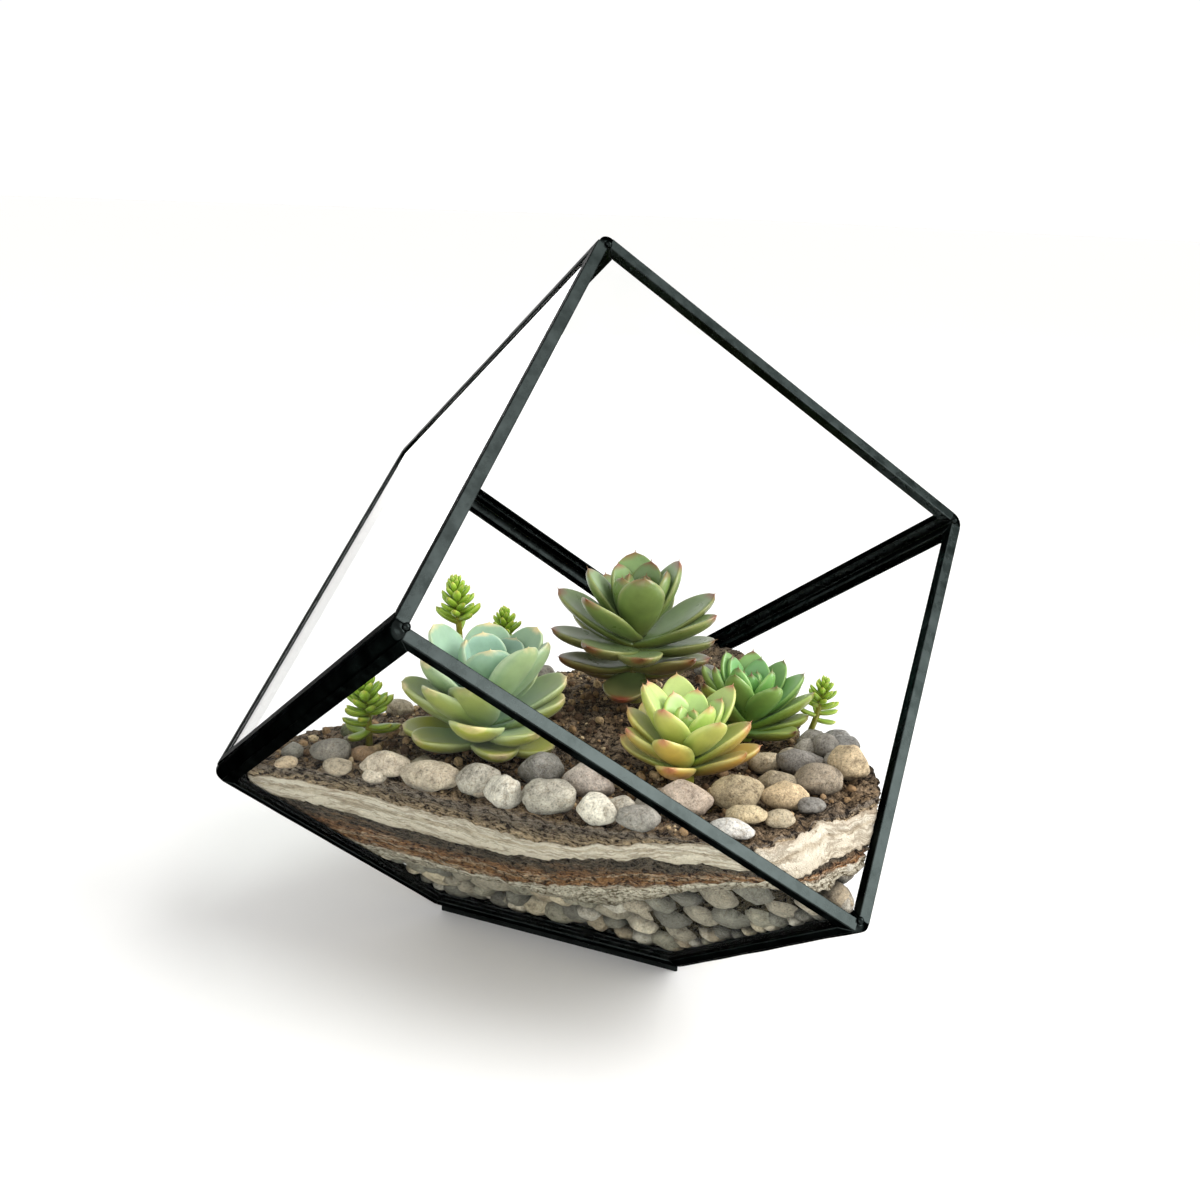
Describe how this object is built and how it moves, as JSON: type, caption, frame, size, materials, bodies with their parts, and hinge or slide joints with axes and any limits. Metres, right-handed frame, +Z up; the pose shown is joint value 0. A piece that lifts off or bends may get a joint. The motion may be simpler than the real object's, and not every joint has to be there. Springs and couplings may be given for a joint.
{
  "type": "glass plant terrarium",
  "caption": "Open glass cube standing on its cut-off corner, black strip frame, banded sand and soil fill, pebbles on top, succulent rosettes and small stonecrops.",
  "frame": {"origin": "middle of the whole object's footprint, on the surface that it stands on", "axes": "+Z up along the cube's body diagonal; the open face looks towards -Y and up; +X to the right when facing the opening"},
  "size_m": [0.2176, 0.2495, 0.2319],
  "materials": {
    "black_came": "satin black patina on thin folded strip",
    "clear_glass": "clear float glass, polished",
    "drainage_pebbles": "mixed grey and beige river pebbles",
    "cream_sand": "damp cream sand with fine streaks",
    "potting_soil": "crumbly dark soil with rusty streaks",
    "top_soil": "dark grit and soil",
    "river_pebble": "worn matt stone, speckled",
    "olive_leaf": "fleshy leaf, waxy, red-brown margin",
    "blue_leaf": "fleshy leaf with a chalky bloom",
    "lime_leaf": "fleshy leaf, waxy, orange-pink outside",
    "green_leaf": "fleshy pointed leaf, waxy, dark tip",
    "stonecrop_leaf": "small fleshy leaf, waxy"
  },
  "bodies": {
    "root": {"back_came_base": "black_came", "back_came_front": "black_came", "back_came_left": "black_came", "back_came_right": "black_came", "back_came_top": "black_came", "back_pane": "clear_glass", "base_came_back": "black_came", "base_came_front": "black_came", "base_came_right": "black_came", "base_pane": "clear_glass", "blue_rosette": "blue_leaf", "dark_rosette": "olive_leaf", "drainage_pebble_bed": "drainage_pebbles", "front_came_back": "black_came", "front_came_base": "black_came", "front_came_left": "black_came", "front_came_open": "black_came", "front_came_right": "black_came", "front_pane": "clear_glass", "green_rosette": "green_leaf", "left_came_back": "black_came", "left_came_front": "black_came", "left_came_open": "black_came", "left_came_top": "black_came", "left_pane": "clear_glass", "left_sprig": "stonecrop_leaf", "lime_rosette": "lime_leaf", "lower_sand_layer": "cream_sand", "right_came_back": "black_came", "right_came_base": "black_came", "right_came_front": "black_came", "right_came_open": "black_came", "right_came_top": "black_came", "right_pane": "clear_glass", "right_sprig": "stonecrop_leaf", "small_sprig": "stonecrop_leaf", "soil_layer": "potting_soil", "surface_pebble_01": "river_pebble", "surface_pebble_02": "river_pebble", "surface_pebble_03": "river_pebble", "surface_pebble_04": "river_pebble", "surface_pebble_05": "river_pebble", "surface_pebble_06": "river_pebble", "surface_pebble_07": "river_pebble", "surface_pebble_08": "river_pebble", "surface_pebble_09": "river_pebble", "surface_pebble_10": "river_pebble", "surface_pebble_11": "river_pebble", "surface_pebble_12": "river_pebble", "surface_pebble_13": "river_pebble", "surface_pebble_14": "river_pebble", "surface_pebble_15": "river_pebble", "tall_sprig": "stonecrop_leaf", "top_came_back": "black_came", "top_came_left": "black_came", "top_came_open": "black_came", "top_came_right": "black_came", "top_grit_layer": "top_soil", "top_pane": "clear_glass", "upper_sand_layer": "cream_sand"}
  },
  "joints": []
}
